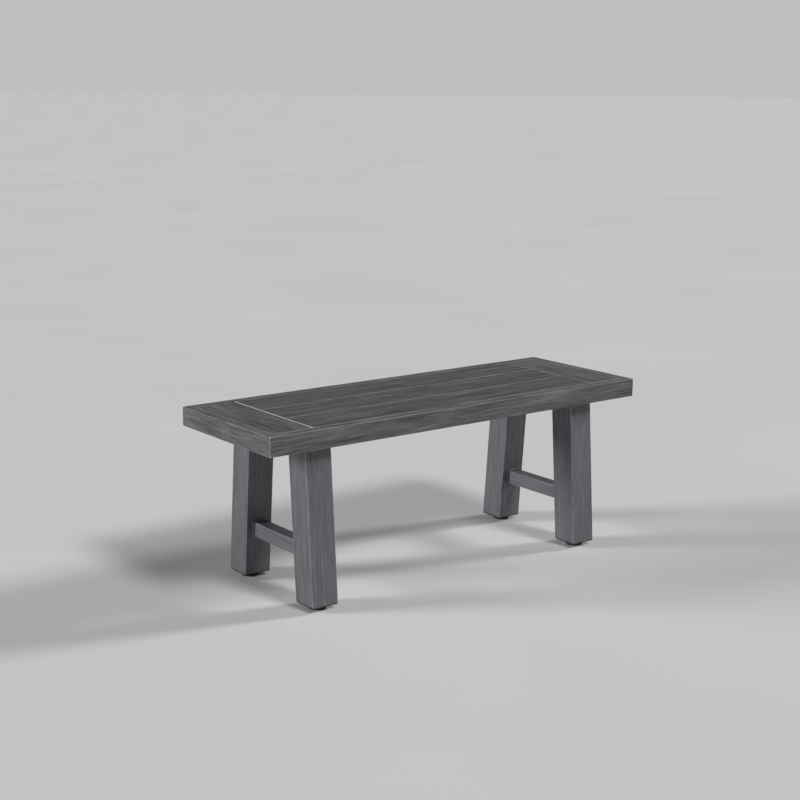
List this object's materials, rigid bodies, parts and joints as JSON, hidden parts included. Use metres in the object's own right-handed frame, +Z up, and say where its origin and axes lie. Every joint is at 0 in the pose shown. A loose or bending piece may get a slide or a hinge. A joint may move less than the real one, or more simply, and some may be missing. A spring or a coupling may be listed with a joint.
{
  "type": "garden bench",
  "caption": "Backless garden bench: slatted seat in a mitred frame on two splayed square-leg trestles with low stretchers and screw-out levelling feet.",
  "frame": {"origin": "on the floor under the middle of the seat, at the feet's contact plane", "axes": "+X along the seat to the right end, +Y to the back, +Z up"},
  "size_m": [1.219, 0.416, 0.47],
  "materials": {
    "grained_frame": "satin grey powder coat with a printed wood grain",
    "grained_slat": "satin grey powder coat with a printed wood grain",
    "grained_leg": "satin grey powder coat with a printed wood grain",
    "plain_coat": "satin grey powder coat",
    "zinc_steel": "zinc plated",
    "black_plastic": "moulded matte",
    "black_nylon": "moulded matte"
  },
  "bodies": {
    "bench": {"seat_rail_front": "grained_frame", "seat_rail_back": "grained_frame", "seat_rail_left": "grained_frame", "seat_rail_right": "grained_frame", "seat_slat_front": "grained_slat", "seat_slat_middle": "grained_slat", "seat_slat_back": "grained_slat", "end_board_left": "grained_slat", "end_board_right": "grained_slat", "trestle_brace_left": "plain_coat", "trestle_brace_right": "plain_coat", "centre_brace": "plain_coat", "end_ledge_left": "plain_coat", "end_ledge_right": "plain_coat", "leg_front_left": "grained_leg", "leg_front_right": "grained_leg", "leg_back_left": "grained_leg", "leg_back_right": "grained_leg", "stretcher_left": "grained_leg", "stretcher_right": "grained_leg", "trestle_plate_left": "plain_coat", "trestle_plate_right": "plain_coat", "trestle_bolt_left_1": "zinc_steel", "trestle_bolt_left_2": "zinc_steel", "trestle_bolt_left_3": "zinc_steel", "trestle_bolt_left_4": "zinc_steel", "bolt_washer_left_1": "zinc_steel", "bolt_washer_left_2": "zinc_steel", "bolt_washer_left_3": "zinc_steel", "bolt_washer_left_4": "zinc_steel", "nut_bar_left_outer": "zinc_steel", "nut_bar_left_inner": "zinc_steel", "trestle_bolt_right_1": "zinc_steel", "trestle_bolt_right_2": "zinc_steel", "trestle_bolt_right_3": "zinc_steel", "trestle_bolt_right_4": "zinc_steel", "bolt_washer_right_1": "zinc_steel", "bolt_washer_right_2": "zinc_steel", "bolt_washer_right_3": "zinc_steel", "bolt_washer_right_4": "zinc_steel", "nut_bar_right_outer": "zinc_steel", "nut_bar_right_inner": "zinc_steel", "leg_cap_front_left": "black_plastic", "leg_cap_front_right": "black_plastic", "leg_cap_back_left": "black_plastic", "leg_cap_back_right": "black_plastic", "cap_nut_front_left": "zinc_steel", "cap_nut_front_right": "zinc_steel", "cap_nut_back_left": "zinc_steel", "cap_nut_back_right": "zinc_steel"},
    "foot_front_left": {"glide_pad_front_left": "black_nylon"},
    "screw_front_left": {"glide_stud_front_left": "zinc_steel"},
    "foot_front_right": {"glide_pad_front_right": "black_nylon"},
    "screw_front_right": {"glide_stud_front_right": "zinc_steel"},
    "foot_back_left": {"glide_pad_back_left": "black_nylon"},
    "screw_back_left": {"glide_stud_back_left": "zinc_steel"},
    "foot_back_right": {"glide_pad_back_right": "black_nylon"},
    "screw_back_right": {"glide_stud_back_right": "zinc_steel"}
  },
  "joints": [
    {"name": "foot_travel_front_left", "type": "slide", "parent": "bench", "child": "foot_front_left", "axis": [0, 0, -1], "range_m": [0, 0.01]},
    {"name": "screw_turn_front_left", "type": "hinge", "parent": "foot_front_left", "child": "screw_front_left", "pos_m": [-0.4445, -0.1585, 0.012], "axis": [0, 0, -1], "range_deg": [0, 2880]},
    {"name": "foot_travel_front_right", "type": "slide", "parent": "bench", "child": "foot_front_right", "axis": [0, 0, -1], "range_m": [0, 0.01]},
    {"name": "screw_turn_front_right", "type": "hinge", "parent": "foot_front_right", "child": "screw_front_right", "pos_m": [0.4445, -0.1585, 0.012], "axis": [0, 0, -1], "range_deg": [0, 2880]},
    {"name": "foot_travel_back_left", "type": "slide", "parent": "bench", "child": "foot_back_left", "axis": [0, 0, -1], "range_m": [0, 0.01]},
    {"name": "screw_turn_back_left", "type": "hinge", "parent": "foot_back_left", "child": "screw_back_left", "pos_m": [-0.4445, 0.1585, 0.012], "axis": [0, 0, -1], "range_deg": [0, 2880]},
    {"name": "foot_travel_back_right", "type": "slide", "parent": "bench", "child": "foot_back_right", "axis": [0, 0, -1], "range_m": [0, 0.01]},
    {"name": "screw_turn_back_right", "type": "hinge", "parent": "foot_back_right", "child": "screw_back_right", "pos_m": [0.4445, 0.1585, 0.012], "axis": [0, 0, -1], "range_deg": [0, 2880]}
  ],
  "couplings": [
    {"joint": "screw_turn_front_left", "follows": "foot_travel_front_left", "rad_per_m": 5026.5},
    {"joint": "screw_turn_front_right", "follows": "foot_travel_front_right", "rad_per_m": 5026.5},
    {"joint": "screw_turn_back_left", "follows": "foot_travel_back_left", "rad_per_m": 5026.5},
    {"joint": "screw_turn_back_right", "follows": "foot_travel_back_right", "rad_per_m": 5026.5}
  ]
}
